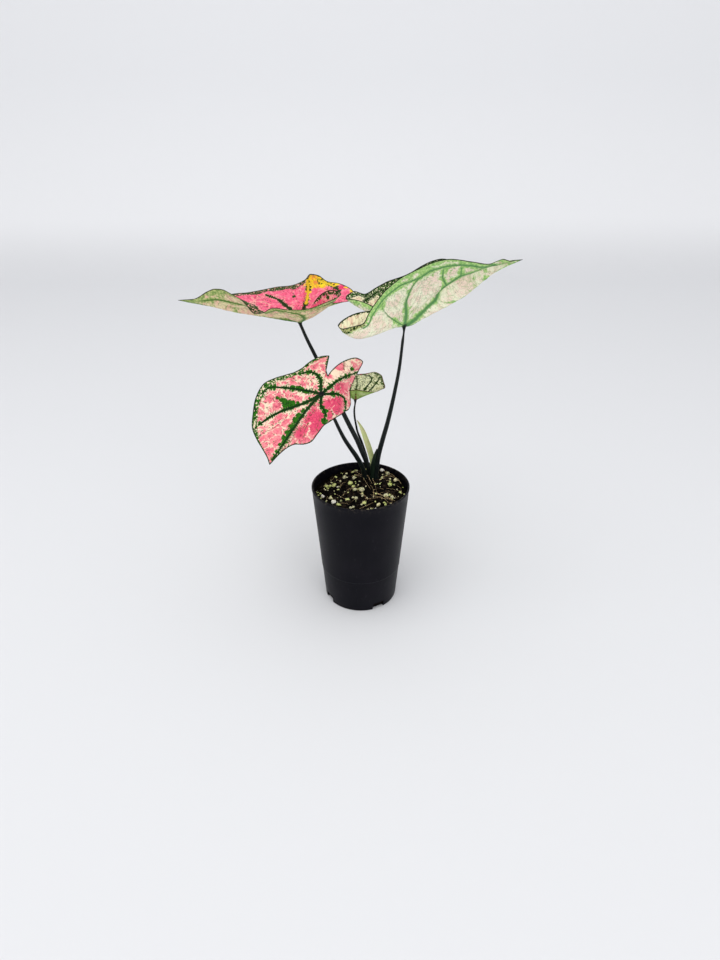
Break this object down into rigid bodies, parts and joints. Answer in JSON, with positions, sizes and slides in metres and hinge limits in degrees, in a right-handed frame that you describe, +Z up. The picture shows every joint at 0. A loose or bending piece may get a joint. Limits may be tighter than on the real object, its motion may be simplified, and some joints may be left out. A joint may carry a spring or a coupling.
{
  "type": "potted caladium",
  "caption": "Young caladium with arrow-shaped leaves on thin leaning stalks, in a round tapered nursery pot filled with potting mix.",
  "frame": {"origin": "centre of the pot's foot, on the surface that it stands on", "axes": "+Z up; -Y towards the viewer, where the front leaf hangs; +X towards the leaf on the right"},
  "size_m": [0.3039, 0.1656, 0.3494],
  "materials": {
    "pot": "satin black",
    "soil": "dark moist potting mix with pale grains",
    "tuber": "brown corky skin",
    "stalk": "dark green stem with a slight sheen",
    "sheath": "pale yellow-green leaf sheath",
    "blade_pale": "pale green leaf with darker veins, satin",
    "blade_pink": "hot pink leaf with dark green veins and an olive edge, satin",
    "blade_rose": "rose leaf with dark green veins and edge, satin"
  },
  "bodies": {
    "root": {"pot": "pot", "soil": "soil", "tuber": "tuber", "stalk_right": "stalk", "stalk_left": "stalk", "stalk_front": "stalk", "stalk_small": "stalk", "sheath": "sheath", "blade_right": "blade_pale", "blade_left": "blade_pink", "blade_front": "blade_rose", "blade_small": "blade_pale"}
  },
  "joints": []
}
